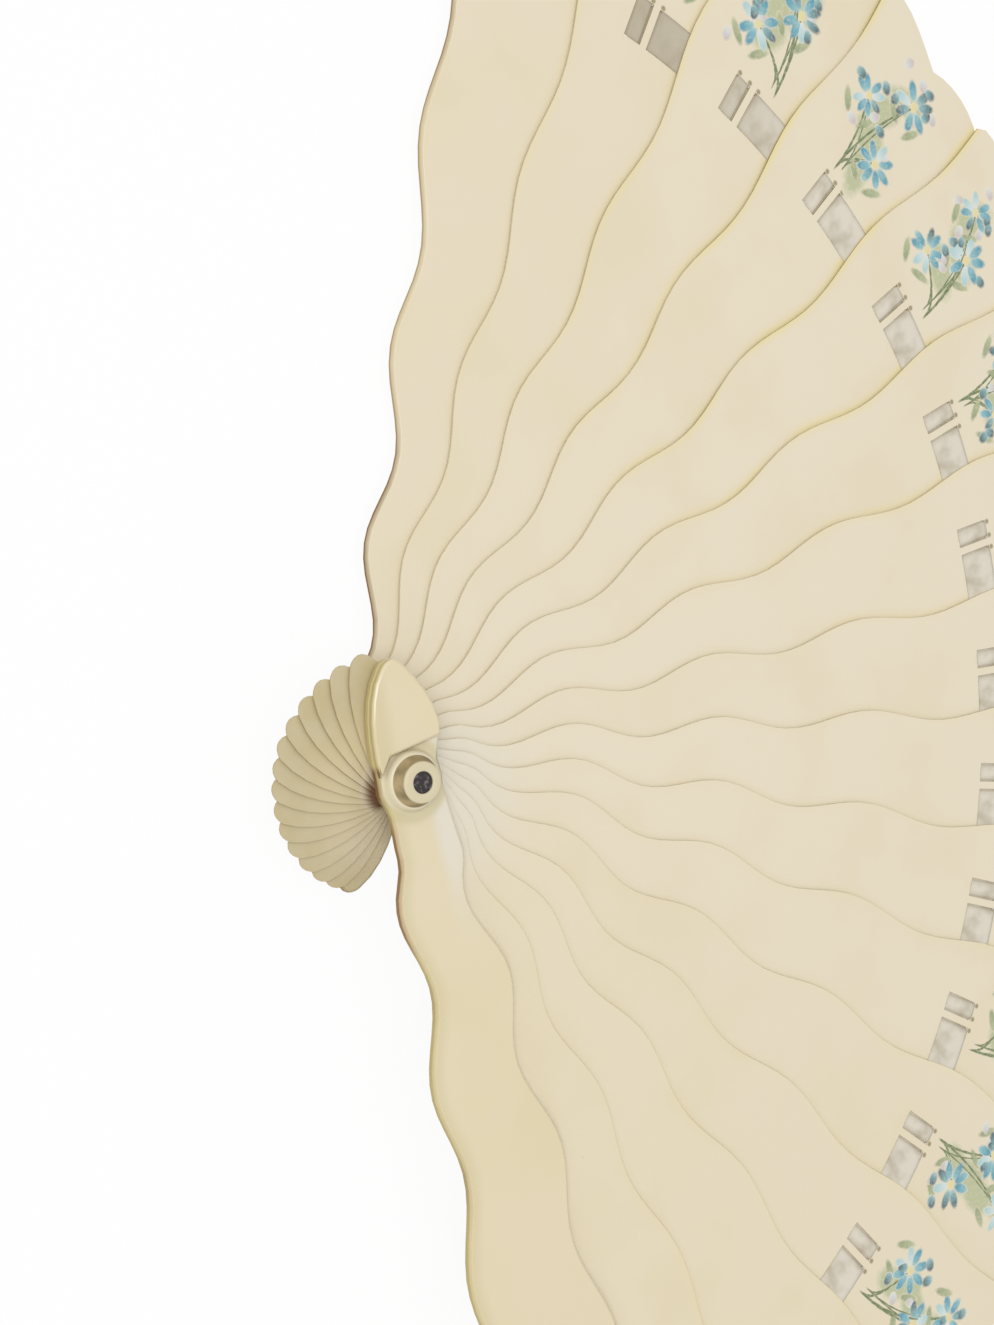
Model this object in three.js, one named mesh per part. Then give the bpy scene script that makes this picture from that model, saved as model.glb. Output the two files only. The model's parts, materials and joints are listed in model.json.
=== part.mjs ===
// Open brise fan: a back guard, fourteen thin blades and a front guard that turn on one pin,
// with a ribbon woven through slits in the blades. Millimetres and degrees, +Z up.
// The pin stands on the origin, the fan lies face up, and each stick lies on the one before it.
import * as THREE from "three";

// Sticks: how many, how thick, and the gap between one and the next.
const bladeCount = 14;
const bladeThickness = 0.35;
const layerGap = 0.3;
const backGuardThickness = 1.6;
const frontGuardThickness = 2.1;
const guardBevel = 0.6;

// Spread: direction of the back guard, then the angle from each stick to the next, back to front.
const backGuardDirection = 96.8;
const openings = [
  10.6, 9.72, 10.3, 10.68, 10.3, 10.06, 10.36, 9.6, 9.71, 9.77, 10.42, 10.19, 10.03, 10.82, 9.83,
];

// Outline of a stick, with x along it from the pin and y to its left. Both edges spread from the
// pin to the tip. Each edge takes the wave times a gain and a lag behind it. A guard has a wider
// boss than a blade, deeper waves, and a wider and shorter tail. The blades' tails lengthen from
// the first of the two lengths to the second.
const leftHalfWidth = 5.73;
const leftTaper = 0.0767;
const leftEasingRadius = 39000;
const blade = {
  bossRadius: 4.8,
  rightHalfWidth: 4.2,
  rightTaper: 0.074,
  leftWave: { gain: 1, lag: 0 },
  rightWave: { gain: 0.71, lag: -2.2 },
  tailSwell: 0,
  tailLengths: [20.5, 22.6],
};
const guard = {
  bossRadius: 6.3,
  rightHalfWidth: 4.66,
  rightTaper: 0.058,
  leftWave: { gain: 1.2, lag: 1.2 },
  rightWave: { gain: 1.07, lag: 0.1 },
  tailSwell: 0.9,
  tailLengths: [20.8, 20.8],
};
const outlineStations = 64;
const stationCrowding = 1.3;

// Wave of the edges. Each wave is longer and shallower than the one nearer the pin.
const waveStart = 28.84;
const waveLength = 30.4;
const waveGrowth = 0.126;
const waveDepth = 1.76;
const waveFading = 0.0038;
const waveFadeIn = [10, 18];

// Tip: two lobes with a notch between them. Each lobe bends towards two points, given as the
// distance past the notch and the distance to the left of the centre line.
const tipNotch = 187;
const rightLobe = [[3, -12.6], [3, -5.4]];
const leftLobe = [[2.9, 8.2], [6.2, 17.5]];
const leftLobeLead = 1;

// Tail behind the pin: a blade's lengthens up to the ninth blade, then stays the same.
// Its outline bends towards points given as a share of its length and a distance to the left.
const tailLengtheningEnd = 9;
const tailRoot = 2;
const tailRightCorner = [0.94, -1.2];
const tailLeftCorner = [0.92, 3.1];
const tailRightSide = [[0.4, -5.2], [0.75, -4.2]];
const tailEnd = [[1, 0], [1.02, 1.9]];
const tailLeftSide = [[0.7, 6.2], [0.4, 9.2]];
const curvePoints = 6;

// Slits for the ribbon, as distances of the three slits to the left of the stick's centre line.
const ribbonRadius = 145.5;
const ribbonWidth = 7.6;
const ribbonThickness = 0.12;
const slits = [4.8, 1.9, -0.6];
const slitWidth = 1;
const slitEndClearance = 0.4;
const ribbonEndGap = 0.3;
const ribbonEndLead = 1.2;
const gluedRibbonStart = -12;
const ribbonStep = 3.5;

// Pin, its two collars and the plate on the front guard's tail. The collars' profiles hold the
// radius and the height over the guard's face.
const pinRadius = 1.85;
const pinClearance = 0.1;
const pinRecess = 0.2;
const frontCollarProfile = [[5, 0], [5, 0.7], [4.45, 1.6], [3.45, 3.7], [3.15, 4]];
const backCollarProfile = [[3.4, 0], [3.4, 0.85], [3.05, 1.2]];
const roundSegments = 28;
const plateThickness = 1.2;
const plateBevel = 0.5;
const plateStep = [[-5.8, 6.9], [-5.1, -3.1], [-2.2, -5.8]];

const frontCollarHeight = frontCollarProfile[frontCollarProfile.length - 1][1];
const backCollarHeight = backCollarProfile[backCollarProfile.length - 1][1];
const layerPitch = bladeThickness + layerGap;
const backGuardBase = backCollarHeight;
const backGuardTop = backGuardBase + backGuardThickness;
const frontGuardBase = backGuardTop + bladeCount * layerPitch + layerGap;
const frontGuardTop = frontGuardBase + frontGuardThickness;
const collarTop = frontGuardTop + frontCollarHeight;
const holeRadius = pinRadius + pinClearance;
const frontGuardIndex = bladeCount + 1;

const ivory = new THREE.MeshStandardMaterial({ color: 0xe8dcc0, roughness: 0.42, metalness: 0 });
const silk = new THREE.MeshStandardMaterial({ color: 0xd3cbc4, roughness: 0.75, metalness: 0 });
const steel = new THREE.MeshStandardMaterial({ color: 0x5a5252, roughness: 0.45, metalness: 0.9 });

const radians = THREE.MathUtils.degToRad;
const twoDigits = (number) => String(number).padStart(2, "0");

// Direction of a stick in degrees, counted from the back guard.
function stickDirection(index) {
  return openings.slice(0, index).reduce((angle, opening) => angle - opening, backGuardDirection);
}

// Height of a stick's front face.
function stickTop(index) {
  return index > bladeCount ? frontGuardTop : backGuardTop + index * layerPitch;
}

// Sideways offset of an edge's wave at a distance from the pin. Its length grows with the distance.
function wave({ gain, lag }, distance) {
  const x = distance - lag;
  const growth = Math.max((waveGrowth * (x - waveStart)) / waveLength, waveGrowth - 1);
  const depth = Math.max(waveDepth - waveFading * x, 0);
  const fadeIn = THREE.MathUtils.smoothstep(x, waveFadeIn[0], waveFadeIn[1]);
  return gain * depth * fadeIn * Math.sin((2 * Math.PI * Math.log1p(growth)) / waveGrowth);
}

function bossHalfWidth(kind, x) {
  return Math.sqrt(Math.max(kind.bossRadius * kind.bossRadius - x * x, 0));
}

function leftEdge(kind, x) {
  const edge = leftHalfWidth + leftTaper * x - (x * x) / leftEasingRadius + wave(kind.leftWave, x);
  return Math.max(edge, bossHalfWidth(kind, x));
}

function rightEdge(kind, x) {
  const edge = kind.rightHalfWidth + kind.rightTaper * x - wave(kind.rightWave, x);
  return -Math.max(edge, bossHalfWidth(kind, x));
}

function curve(start, pulls, end) {
  const corners = [start, ...pulls, end].map(([x, y]) => new THREE.Vector2(x, y));
  return new THREE.CubicBezierCurve(...corners).getPoints(curvePoints);
}

// Tail outline from the left side of the boss round to its right side.
function tailOutline(kind, index) {
  const lengthening = Math.min(index / tailLengtheningEnd, 1);
  const length = THREE.MathUtils.lerp(...kind.tailLengths, lengthening);
  const place = ([share, y]) => [-share * length, y];
  const swell = ([share, y]) => [-share * length, y - kind.tailSwell];
  const rootHalfWidth = bossHalfWidth(kind, tailRoot);
  const leftSide = tailLeftSide.map(place).reverse();
  return [
    ...curve([-tailRoot, rootHalfWidth], leftSide, place(tailLeftCorner)).slice(0, -1),
    ...curve(place(tailLeftCorner), tailEnd.map(place).reverse(), place(tailRightCorner)).slice(0, -1),
    ...curve(place(tailRightCorner), tailRightSide.map(swell).reverse(), [-tailRoot, -rootHalfWidth]),
  ];
}

// Tip outline from the right corner over both lobes to the left corner.
function tipOutline(rightCorner, leftCorner) {
  const notch = [tipNotch, 0];
  const place = ([past, y]) => [tipNotch + past, y];
  return [
    ...curve(rightCorner, rightLobe.map(place), notch).slice(0, -1),
    ...curve(notch, leftLobe.map(place), leftCorner),
  ];
}

// Closed outline of a stick: along its right edge, round the tip, back along its left edge and
// round the tail. The stations crowd towards the pin, where the waves are short.
function stickOutline(kind, index) {
  const shares = Array.from({ length: outlineStations }, (_, station) => (station + 1) / (outlineStations + 1));
  const stations = shares.map((share) => tipNotch * share ** stationCrowding);
  const right = stations.map((x) => new THREE.Vector2(x, rightEdge(kind, x)));
  const left = stations.map((x) => new THREE.Vector2(x, leftEdge(kind, x))).reverse();
  const leftTip = tipNotch + leftLobeLead;
  const tip = tipOutline([tipNotch, rightEdge(kind, tipNotch)], [leftTip, leftEdge(kind, leftTip)]);
  return [...right, ...tip, ...left, ...tailOutline(kind, index)];
}

function slitHole(offset) {
  const halfLength = ribbonWidth / 2 + slitEndClearance;
  const hole = new THREE.Path();
  hole.moveTo(ribbonRadius - halfLength, offset - slitWidth / 2);
  hole.lineTo(ribbonRadius - halfLength, offset + slitWidth / 2);
  hole.lineTo(ribbonRadius + halfLength, offset + slitWidth / 2);
  hole.lineTo(ribbonRadius + halfLength, offset - slitWidth / 2);
  hole.closePath();
  return hole;
}

function pinHole() {
  return new THREE.Path().absarc(0, 0, holeRadius, 0, 2 * Math.PI, true);
}

// Flat plate of a thickness, its underside at z = 0, with chamfered edges where bevel is above 0.
function plateGeometry(shape, thickness, bevel) {
  const geometry = new THREE.ExtrudeGeometry(shape, {
    depth: thickness - 2 * bevel,
    curveSegments: roundSegments / 2,
    bevelEnabled: bevel > 0,
    bevelThickness: bevel,
    bevelSize: bevel,
    bevelOffset: -bevel,
    bevelSegments: 1,
  });
  geometry.translate(0, 0, bevel);
  return geometry;
}

function bladeGeometry(index) {
  const shape = new THREE.Shape(stickOutline(blade, index));
  shape.holes.push(pinHole(), ...slits.map(slitHole));
  return plateGeometry(shape, bladeThickness, 0);
}

function guardGeometry(thickness, index) {
  const shape = new THREE.Shape(stickOutline(guard, index));
  shape.holes.push(pinHole());
  return plateGeometry(shape, thickness, guardBevel);
}

// Plate on the front guard's tail. Its underside is flat, so only its upper edges are chamfered.
function tailPlateGeometry() {
  const [left, middle, right] = plateStep.map(([x, y]) => new THREE.Vector2(x, y));
  const tail = tailOutline(guard, frontGuardIndex);
  const kept = tail.filter((point) => point.x < (point.y > 0 ? left.x : right.x));
  const outline = new THREE.Shape([...kept, right, middle, left]);
  const geometry = plateGeometry(outline, plateThickness + plateBevel, plateBevel);
  const positions = geometry.attributes.position;
  for (let vertex = 0; vertex < positions.count; vertex += 1) {
    positions.setZ(vertex, Math.max(positions.getZ(vertex) - plateBevel, 0));
  }
  return geometry;
}

// Collar seated on the pin, its underside at z = 0, turned from the outer profile.
function collarGeometry(outerProfile) {
  const height = outerProfile[outerProfile.length - 1][1];
  const profile = [[pinRadius, 0], ...outerProfile, [pinRadius, height], [pinRadius, 0]];
  const geometry = new THREE.LatheGeometry(profile.map(([x, y]) => new THREE.Vector2(x, y)), roundSegments);
  geometry.rotateX(Math.PI / 2);
  return geometry;
}

// Outline of a strip that follows an open path, half the thickness to each side of it.
function stripShape(path, thickness) {
  const points = path.map(([x, y]) => new THREE.Vector2(x, y));
  const side = (sign) => points.map((point, index) => {
    const before = points[Math.max(index - 1, 0)];
    const after = points[Math.min(index + 1, points.length - 1)];
    const incoming = (index > 0 ? point.clone().sub(before) : after.clone().sub(point)).normalize();
    const outgoing = (index < points.length - 1 ? after.clone().sub(point) : incoming.clone()).normalize();
    const normal = new THREE.Vector2(-incoming.y - outgoing.y, incoming.x + outgoing.x).normalize();
    const slant = normal.dot(new THREE.Vector2(-incoming.y, incoming.x));
    return point.clone().addScaledVector(normal, (sign * thickness) / 2 / slant);
  });
  return new THREE.Shape([...side(-1), ...side(1).reverse()]);
}

// Ribbon length from one stick to the next, bent round the pin at the ribbon's radius.
// Its path holds distances along the arc, counted to the stick's left, and heights over its face.
function ribbonGeometry(index) {
  const over = layerGap / 2;
  const under = -bladeThickness - layerGap / 2;
  const nextStick = -radians(openings[index]) * ribbonRadius;
  const end = nextStick + slits[0] + ribbonEndLead + ribbonEndGap / 2;
  const path = [];
  if (index > 0) {
    path.push([slits[0] + ribbonEndLead - ribbonEndGap / 2, under]);
    path.push([slits[0], under], [slits[0], over]);
    path.push([slits[1], over], [slits[1], under]);
    path.push([slits[2], under], [slits[2], over]);
  } else {
    path.push([gluedRibbonStart, over]);
  }
  const start = path[path.length - 1][0];
  const steps = Math.ceil((start - end) / ribbonStep);
  for (let step = 1; step <= steps; step += 1) {
    path.push([start + ((end - start) * step) / steps, over]);
  }
  const shape = stripShape(path, ribbonThickness);
  const geometry = new THREE.ExtrudeGeometry(shape, { depth: ribbonWidth, bevelEnabled: false });
  const positions = geometry.attributes.position;
  for (let vertex = 0; vertex < positions.count; vertex += 1) {
    const angle = positions.getX(vertex) / ribbonRadius;
    const radius = ribbonRadius - ribbonWidth / 2 + positions.getZ(vertex);
    const height = positions.getY(vertex);
    positions.setXYZ(vertex, radius * Math.cos(angle), radius * Math.sin(angle), height);
  }
  return geometry;
}

const fan = new THREE.Group();

function addPiece(name, geometry, material, height, direction = 0) {
  const piece = new THREE.Mesh(geometry, material);
  piece.name = name;
  piece.position.z = height;
  piece.rotation.z = radians(direction);
  fan.add(piece);
}

addPiece("back_guard", guardGeometry(backGuardThickness, 0), ivory, backGuardBase, stickDirection(0));
for (let index = 1; index <= bladeCount; index += 1) {
  const base = stickTop(index) - bladeThickness;
  addPiece(`blade_${twoDigits(index)}`, bladeGeometry(index), ivory, base, stickDirection(index));
}
const frontDirection = stickDirection(frontGuardIndex);
const frontGuard = guardGeometry(frontGuardThickness, frontGuardIndex);
addPiece("front_guard", frontGuard, ivory, frontGuardBase, frontDirection);
addPiece("tail_plate", tailPlateGeometry(), ivory, frontGuardTop, frontDirection);

for (let index = 0; index <= bladeCount; index += 1) {
  const name = `ribbon_${twoDigits(index + 1)}`;
  addPiece(name, ribbonGeometry(index), silk, stickTop(index), stickDirection(index));
}

const pinTop = collarTop - pinRecess;
const pin = new THREE.CylinderGeometry(pinRadius, pinRadius, pinTop, roundSegments).rotateX(Math.PI / 2);
addPiece("pivot_pin", pin, steel, pinTop / 2);
addPiece("front_collar", collarGeometry(frontCollarProfile), ivory, frontGuardTop);
const backCollar = collarGeometry(backCollarProfile).rotateX(Math.PI);
addPiece("back_collar", backCollar, ivory, backCollarHeight);

export default fan;
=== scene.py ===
import json
import math
import random

import bmesh
import bpy
from bpy.props import FloatProperty, FloatVectorProperty, IntProperty, PointerProperty
from mathutils import Euler, Matrix, Vector

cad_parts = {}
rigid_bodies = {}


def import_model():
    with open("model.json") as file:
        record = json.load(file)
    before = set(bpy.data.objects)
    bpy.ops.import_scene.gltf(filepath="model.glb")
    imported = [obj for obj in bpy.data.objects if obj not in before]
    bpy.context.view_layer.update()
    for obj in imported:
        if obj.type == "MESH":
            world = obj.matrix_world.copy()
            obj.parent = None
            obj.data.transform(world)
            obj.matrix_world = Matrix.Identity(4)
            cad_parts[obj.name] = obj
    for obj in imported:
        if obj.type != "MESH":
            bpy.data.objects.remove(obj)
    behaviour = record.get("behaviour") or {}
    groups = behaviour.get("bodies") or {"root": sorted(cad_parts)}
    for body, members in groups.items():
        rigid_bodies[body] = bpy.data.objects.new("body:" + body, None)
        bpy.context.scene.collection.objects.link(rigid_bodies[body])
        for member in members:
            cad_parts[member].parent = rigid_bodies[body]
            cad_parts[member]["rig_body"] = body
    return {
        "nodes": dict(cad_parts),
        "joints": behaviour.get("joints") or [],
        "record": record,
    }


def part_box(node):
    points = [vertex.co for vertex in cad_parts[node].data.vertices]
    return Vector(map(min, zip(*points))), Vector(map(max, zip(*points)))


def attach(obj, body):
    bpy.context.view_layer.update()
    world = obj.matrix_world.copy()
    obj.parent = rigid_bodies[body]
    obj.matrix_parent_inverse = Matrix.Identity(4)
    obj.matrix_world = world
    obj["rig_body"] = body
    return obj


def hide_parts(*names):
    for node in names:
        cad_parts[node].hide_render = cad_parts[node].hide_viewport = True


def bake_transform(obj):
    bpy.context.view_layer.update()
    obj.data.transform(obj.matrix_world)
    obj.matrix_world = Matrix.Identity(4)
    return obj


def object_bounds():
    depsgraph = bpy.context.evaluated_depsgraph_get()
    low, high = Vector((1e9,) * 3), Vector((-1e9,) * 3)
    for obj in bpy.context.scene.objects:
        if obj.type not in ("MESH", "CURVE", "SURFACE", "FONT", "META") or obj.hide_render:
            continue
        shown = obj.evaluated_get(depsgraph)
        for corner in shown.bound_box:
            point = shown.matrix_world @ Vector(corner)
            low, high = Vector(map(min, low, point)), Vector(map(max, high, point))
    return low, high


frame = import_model()

bl_info = {
    "name": "Folding hand fan",
    "version": (1, 0, 0),
    "blender": (4, 5, 0),
    "location": "View3D > Sidebar > Fan",
    "description": "Dresses an open fan of celluloid sticks on one pin with a woven silk ribbon",
    "category": "Object",
}

MM = 0.001
CAD_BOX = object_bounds()
JOINTS = frame["joints"]
COUPLINGS = frame["record"]["behaviour"]["couplings"]
RATIOS = {link["joint"]: link["ratio"] for link in COUPLINGS}
BLADE_COUNT = len(JOINTS) - 1
BACK_GUARD_DIRECTION = 96.8

# How yellow the front guard is, and how strongly the edges of each blade are stained
FRONT_GUARD_AGE = 0.55
AMBER = {1: 0.3, 2: 0.5, 3: 1.0, 4: 0.8, 5: 0.5, 6: 0.3}
FAINT_AMBER = 0.1

# The stick's outline in the CAD model, in millimetres, where the material follows it
WAVE_START = 28.84
WAVE_LENGTH = 30.4
WAVE_GROWTH = 0.126
WAVE_DEPTH = 1.76
WAVE_FADING = 0.0038
WAVE_FADE_IN = (10, 18)
BLADE_LEFT_EDGE = {"half_width": 5.73, "taper": 0.0767, "easing": 1 / 39000, "gain": 1, "lag": 0}
GUARD_RIGHT_EDGE = {"half_width": 4.66, "taper": 0.058, "easing": 0, "gain": -1.07, "lag": 0.1}
GUARD_DENT_LINE = 4.2
SLITS = (4.8, 1.9, -0.6)
DOT_RADIUS = 150.3

# Each stick has clouds and stained patches of its own, this far apart in the noise
CLOUD_STEP = 17
PATCH_STEP = 9

# Heights over the front collar's foot between which its colour changes, in millimetres
SEAT_END = (1.5, 1.2)
CONE_START = (1.42, 1.6)
CONE_END = (3.66, 3.4)
LIP_START = (3.4, 3.7)

# Distances between the silk's threads, in millimetres
WARP_PITCH = 0.22
WEFT_PITCH = 0.3

# Radii and heights of the turned collars, from the foot to the bore, in millimetres
FRONT_COLLAR_PROFILE = (
    (5.6, 0),
    (5.3, 0.14),
    (5.1, 0.42),
    (5, 0.85),
    (4.9, 1.05),
    (4.6, 1.36),
    (4.45, 1.42),
    (4.34, 1.5),
    (4.28, 1.62),
    (3.5, 3.4),
    (3.44, 3.62),
    (3.4, 3.84),
    (3.3, 3.95),
    (3.15, 4),
    (2.1, 4),
    (1.92, 3.95),
)
FRONT_COLLAR_BORE_END = 3.84
BACK_COLLAR_PROFILE = ((3.4, 0), (3.4, 0.8), (3.28, 1.08), (3.0, 1.2))
BACK_COLLAR_BORE_END = 1.2

# Steps of a collar's turning, and the angle in degrees above which its edges are sharp
COLLAR_STEPS = 64
COLLAR_SHARP_ANGLE = 50

# The pin's end: each ring's inset and its rise over the one before it, in millimetres
PIN_RINGS = ((0.25, 0.0), (0.35, 0.06), (0.5, 0.03), (0.35, -0.05))
PIN_RIM_ROUNDING = 0.15
PIN_SEGMENTS = 48

# The ribbon's ends, its edges and its way through a slit, in millimetres
RIBBON_GLUED_START = -12
RIBBON_LEAD = 1.2
RIBBON_END_GAP = 0.3
RIBBON_EDGE_DROOP = 0.06
SLIT_PASSAGE = 0.7

# The ribbon's mesh
RIBBON_STEPS_ALONG = 150
RIBBON_STEPS_ACROSS = 12

# A face is flat shaded where the upright part of its direction is at least this
LEVEL = 0.999

# Segments of a rounded edge, and the angle in degrees above which an edge is rounded
ROUNDING_SEGMENTS = 3
ROUNDING_ANGLE = 28

# Half the floor's side in metres, its drop in millimetres and its share of white to the camera
FLOOR_HALF_SIDE = 6
FLOOR_DROP = 0.1
FLOOR_WHITE = 0.93

# The camera's frame in millimetres, and the nearest distance that it sees in metres
CAMERA_FRAME_WIDTH = 36
CAMERA_NEAR_LIMIT = 0.01


# Helpers for the properties


def linear(code):
    """Scene-linear colour of a hexadecimal sRGB code."""
    channels = [(code >> shift & 255) / 255 for shift in (16, 8, 0)]
    return tuple(c / 12.92 if c <= 0.04045 else ((c + 0.055) / 1.055) ** 2.4 for c in channels)


def length(name, description, millimetres):
    """A length property whose default is given in millimetres."""
    return FloatProperty(name=name, description=description, default=millimetres * MM, unit="LENGTH")


def point(name, description, millimetres):
    """A point property whose default is given in millimetres."""
    default = [value * MM for value in millimetres]
    return FloatVectorProperty(
        name=name, description=description, default=default, subtype="TRANSLATION", unit="LENGTH"
    )


def colour(name, description, code):
    """A colour property whose default is a hexadecimal sRGB code."""
    return FloatVectorProperty(
        name=name, description=description, default=linear(code), subtype="COLOR", min=0, max=1
    )


class FanSizes(bpy.types.PropertyGroup):
    """Sizes of the details that the CAD solids leave out."""

    blade_rounding: length("Blade rounding", "Rounding of a blade's edges", 0.09)
    guard_rounding: length("Guard rounding", "Rounding of a guard's bevels", 0.28)
    plate_rounding: length("Plate rounding", "Rounding of the tail plate's bevels", 0.18)
    ribbon_radius: length("Ribbon radius", "Distance of the ribbon's middle from the pin", 145.5)
    ribbon_width: length("Ribbon width", "Width of the silk ribbon, which fills the slits", 8.36)
    ribbon_thickness: length("Ribbon thickness", "Thickness of the silk ribbon", 0.12)
    first_slit: length("First slit", "First slit, to the left of a blade's centre line", SLITS[0])
    second_slit: length("Second slit", "Second slit, to the left of a blade's centre line", SLITS[1])
    third_slit: length("Third slit", "Third slit, to the left of a blade's centre line", SLITS[2])
    layer_gap: length("Layer gap", "Gap between a stick and the next", 0.3)
    blade_thickness: length("Blade thickness", "Thickness of a blade", 0.35)
    painting_near: length("Painting near end", "Where the painting starts, from the pin", 155)


class FanColours(bpy.types.PropertyGroup):
    """Colours of the celluloid, the silk, the pin and the painting."""

    ivory: colour("Ivory", "Celluloid of the blades", 0xE9DEC6)
    honey: colour("Honey", "Yellowed celluloid in clouds and on the front guard", 0xE2D3AC)
    # Painted sheen: paler, cooler celluloid to the right of the pin, laid where a soft sheen lies and where
    # it lifts the shadow beside the front guard
    haze: colour("Haze", "Greyed celluloid to the right of the pin", 0xE6E0D2)
    boss: colour("Boss", "Greenish celluloid of the boss and of the front collar's seat and lip", 0xD6CBA7)
    # Tail: darker tan celluloid on the tops of the tails
    tail: colour("Tail", "Handled celluloid of the tails", 0xCCBF9B)
    tail_shade: colour("Tail shade", "Darker clouds of the tails", 0xC8B98F)
    glow: colour("Glow", "Yellow stain beside the edges", 0xECDA8C)
    # Painted light: a painted highlight on the tail plate's bevel, and a paler strip on the last blade
    # beside the guard
    gleam: colour("Gleam", "Polished bevel of the tail plate, and the last blade beside the guard", 0xF6EFDC)
    # Shade: painted olive shade inside the front guard's right edge, where its rounded edge lies in shade
    shade: colour("Shade", "Olive shade along the front guard's right edge", 0xD2C394)
    rim: colour("Rim", "Cut edges of the blades, and small specks on the sticks", 0xDACFB2)
    amber_rim: colour("Amber rim", "Cut edges of the blades where they are stained", 0xA08C34)
    tail_rim: colour("Tail rim", "Cut edges of the tails", 0xBAA87A)
    guard_rim: colour("Guard rim", "Cut edges of the guards", 0xB8A76C)
    # Dent shade: brown painted shade on the guards' cut edges in the dents and beside the pin
    hollow: colour("Hollow", "Brown cut edges in the dents of the guards", 0x8A5F30)
    # Soiling with painted shade: dark brown in the crevices beside the boss, and on the back guard's outer
    # cut edge
    dirt: colour("Dirt", "Dark dirt beside the boss and on the back guard's outer side", 0x6E4618)
    # Soiling with painted shade on the cone of the front collar, in two tones
    grime: colour("Grime", "Dirt on the cone of the front collar", 0xB09A6C)
    dark_grime: colour("Dark grime", "Thickest dirt on the cone of the front collar", 0x7A6840)
    # Slit shade: painted shade for the dark seen through the open outer ends of the slits
    dot: colour("Dot", "Dark dots at the outer ends of the slits", 0x85784A)
    silk: colour("Silk", "Ribbon", 0xE3DCCD)
    # Silk shade: the ribbon's darker tone, also laid on as painted shade where it dives into the slits and
    # along its edges
    silk_shade: colour("Silk shade", "Furrows and creases of the ribbon", 0xB3A890)
    steel: colour("Steel", "Darkened metal of the pin", 0x3F393A)
    # Pale steel: paler patches on the pin's end
    worn_steel: colour("Worn steel", "Rubbed spots of the pin's end", 0x7D7577)
    slate: colour("Slate", "Berries and the shaded petals", 0x39434B)
    blue: colour("Blue", "Tips of most petals", 0x3C8FA8)
    pale_blue: colour("Pale blue", "Lit petals", 0x9ECACD)
    cloud: colour("Cloud", "Whitish strokes", 0xDDE6E4)
    lilac: colour("Lilac", "Buds round the flowers", 0xC9B9B4)
    leaf: colour("Leaf", "Leaves", 0x93A07A)
    stem: colour("Stem", "Stems", 0x5C6C3C)
    wash: colour("Wash", "Thin green wash behind a spray", 0xBFC39C)
    heart: colour("Heart", "Middle of a flower", 0xE6D9A4)
    floor: colour("Floor", "Floor and backdrop", 0xF7F7F7)


class FanStage(bpy.types.PropertyGroup):
    """The camera and the studio light."""

    camera_place: point("Camera place", "Where the camera stands", (-153.585, -18.856, 275.044))
    camera_turn: FloatVectorProperty(
        name="Camera turn",
        description="Rotation of the camera",
        default=(math.radians(-2.696), math.radians(-32.765), math.radians(19.539)),
        subtype="EULER",
        unit="ROTATION",
    )
    camera_lens: FloatProperty(
        name="Camera lens", description="Focal length in millimetres on a 36 mm frame", default=49.89
    )
    lamp_place: point("Lamp place", "Middle of the large soft lamp", (-1600, -100, 2700))
    lamp_size: length("Lamp size", "Side of the large soft lamp", 1800)
    lamp_power: FloatProperty(
        name="Lamp power", description="Power of the lamp in watts", default=41.6, min=0, unit="POWER"
    )
    sky_strength: FloatProperty(
        name="Sky strength", description="Strength of the even light from all round", default=0.66, min=0
    )
    seed: IntProperty(name="Seed", description="Seed of the painting's small differences", default=7, min=0)


# The sticks


class Stick:
    """A stick of the fan: its node, the direction it points in and the height of its face."""

    def __init__(self, index):
        self.index = index
        self.is_guard = index in (0, BLADE_COUNT + 1)
        self.name = {0: "back_guard", BLADE_COUNT + 1: "front_guard"}.get(index, f"blade_{index:02d}")
        self.direction = math.radians(BACK_GUARD_DIRECTION - sum(opening(i) for i in range(index)))
        self.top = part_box(self.name)[1].z
        self.opening = opening(index) if index <= BLADE_COUNT else 0
        self.age = yellowing(index)
        self.amber = AMBER.get(index, FAINT_AMBER)

    def turn(self):
        """Matrix from the stick's own frame, x along it and y to its left, to the fan's."""
        return Matrix.Translation((0, 0, self.top)) @ Matrix.Rotation(self.direction, 4, "Z")


def opening(index):
    """Angle in degrees from a stick to the next at rest."""
    joint = JOINTS[index]
    return JOINTS[0]["range_deg"][1] * RATIOS.get(joint["name"], 1)


def yellowing(index):
    """How yellow a stick is: less in the middle of the fan than near the guards."""
    if index > BLADE_COUNT:
        return FRONT_GUARD_AGE
    return max(0.05 * (index - 8), 0.04 * (4 - index), 0)


def sticks():
    """All the sticks, from the back guard to the front guard."""
    return [Stick(index) for index in range(BLADE_COUNT + 2)]


# Materials


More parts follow.
